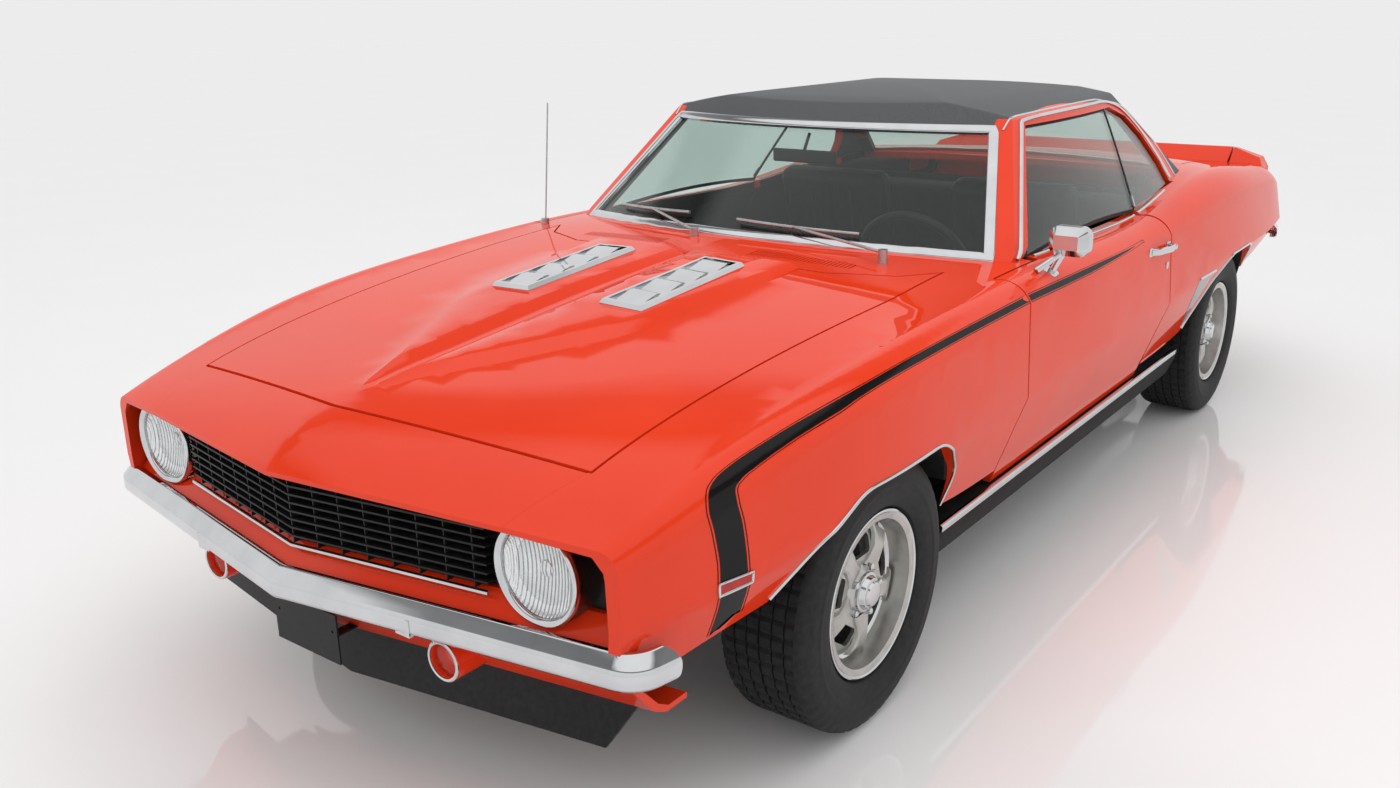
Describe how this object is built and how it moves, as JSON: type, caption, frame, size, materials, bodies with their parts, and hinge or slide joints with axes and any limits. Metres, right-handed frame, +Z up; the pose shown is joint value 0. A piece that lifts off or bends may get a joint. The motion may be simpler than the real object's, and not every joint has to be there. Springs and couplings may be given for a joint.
{
  "type": "two-door hardtop muscle car",
  "caption": "Two-door hardtop muscle car with opening doors, hood and trunk lid, steered front wheels and free-rolling wheels.",
  "frame": {"origin": "on the ground under the middle of the car's bounding box", "axes": "+Z up, the car faces -Y, +X is the car's left side"},
  "size_m": [1.878, 4.7191, 1.318],
  "materials": {
    "paint": "gloss",
    "vinyl_roof": "matte",
    "chrome": "polished",
    "glass": "polished",
    "lamp_glass": "polished",
    "lamp_red": "gloss",
    "black_plastic": "satin",
    "black_vinyl": "satin",
    "underbody": "matte",
    "cast_iron": "rough",
    "steel": "satin",
    "wheel_metal": "satin",
    "tyre": "matte"
  },
  "bodies": {
    "body": {"floor_pan": "underbody", "firewall": "underbody", "cowl_panel": "paint", "fender_left": "paint", "fender_right": "paint", "header_panel": "paint", "front_valance": "paint", "chin_spoiler": "black_plastic", "grille": "black_plastic", "headlamps": "lamp_glass", "bumper_front": "chrome", "quarter_left": "paint", "quarter_right": "paint", "quarter_glass": "glass", "deck_filler": "paint", "tail_panel": "paint", "bumper_rear": "chrome", "tail_lamps": "lamp_red", "roof_shell": "vinyl_roof", "windshield": "glass", "rear_window": "glass", "wheelhouses_front": "underbody", "wheelhouses_rear": "underbody", "subframe": "underbody", "engine_block": "cast_iron", "radiator": "underbody", "rear_axle": "cast_iron", "leaf_springs": "steel", "exhaust": "steel", "fuel_tank": "steel", "front_seats": "black_vinyl", "rear_bench": "black_vinyl", "dashboard": "black_plastic", "wipers": "steel", "antenna": "steel"},
    "hood_body": {"hood": "paint", "hood_louvres": "chrome"},
    "trunk_body": {"trunk_lid": "paint"},
    "door_body_left": {"door_left": "paint", "door_glass_left": "glass", "door_mirror": "chrome"},
    "door_body_right": {"door_right": "paint", "door_glass_right": "glass"},
    "knuckle_body_left": {"knuckle_left": "cast_iron"},
    "knuckle_body_right": {"knuckle_right": "cast_iron"},
    "steering_body": {"steering_wheel": "black_vinyl"},
    "wheel_front_left": {"rim_front_left": "wheel_metal", "tyre_front_left": "tyre"},
    "wheel_front_right": {"rim_front_right": "wheel_metal", "tyre_front_right": "tyre"},
    "wheel_rear_left": {"rim_rear_left": "wheel_metal", "tyre_rear_left": "tyre"},
    "wheel_rear_right": {"rim_rear_right": "wheel_metal", "tyre_rear_right": "tyre"}
  },
  "joints": [
    {"name": "hood_hinge", "type": "hinge", "parent": "body", "child": "hood_body", "pos_m": [0, -0.77, 0.95], "axis": [-1, 0, 0], "range_deg": [0, 55]},
    {"name": "trunk_hinge", "type": "hinge", "parent": "body", "child": "trunk_body", "pos_m": [0, 1.408, 0.969], "axis": [1, 0, 0], "range_deg": [0, 70]},
    {"name": "door_left_hinge", "type": "hinge", "parent": "body", "child": "door_body_left", "pos_m": [0.906, -0.722, 0.6], "axis": [0, 0, -1], "range_deg": [0, 65]},
    {"name": "door_right_hinge", "type": "hinge", "parent": "body", "child": "door_body_right", "pos_m": [-0.906, -0.722, 0.6], "axis": [0, 0, 1], "range_deg": [0, 65]},
    {"name": "steer_left", "type": "hinge", "parent": "body", "child": "knuckle_body_left", "pos_m": [0.69, -1.422, 0.318], "axis": [0, 0, 1], "range_deg": [-33, 33]},
    {"name": "steer_right", "type": "hinge", "parent": "body", "child": "knuckle_body_right", "pos_m": [-0.69, -1.422, 0.318], "axis": [0, 0, 1], "range_deg": [-33, 33]},
    {"name": "steering_wheel_turn", "type": "hinge", "parent": "body", "child": "steering_body", "pos_m": [0.358, -0.3, 0.8], "axis": [0, 0.9363, 0.3511], "range_deg": [-511.5, 511.5]},
    {"name": "wheel_spin_front_left", "type": "hinge", "parent": "knuckle_body_left", "child": "wheel_front_left", "pos_m": [0.757, -1.422, 0.318], "axis": [1, 0, 0], "continuous": true},
    {"name": "wheel_spin_front_right", "type": "hinge", "parent": "knuckle_body_right", "child": "wheel_front_right", "pos_m": [-0.757, -1.422, 0.318], "axis": [1, 0, 0], "continuous": true},
    {"name": "wheel_spin_rear_left", "type": "hinge", "parent": "body", "child": "wheel_rear_left", "pos_m": [0.757, 1.321, 0.318], "axis": [1, 0, 0], "continuous": true},
    {"name": "wheel_spin_rear_right", "type": "hinge", "parent": "body", "child": "wheel_rear_right", "pos_m": [-0.757, 1.321, 0.318], "axis": [1, 0, 0], "continuous": true}
  ],
  "couplings": [
    {"joint": "steer_right", "follows": "steer_left", "ratio": 1},
    {"joint": "steering_wheel_turn", "follows": "steer_left", "ratio": 15.5}
  ]
}
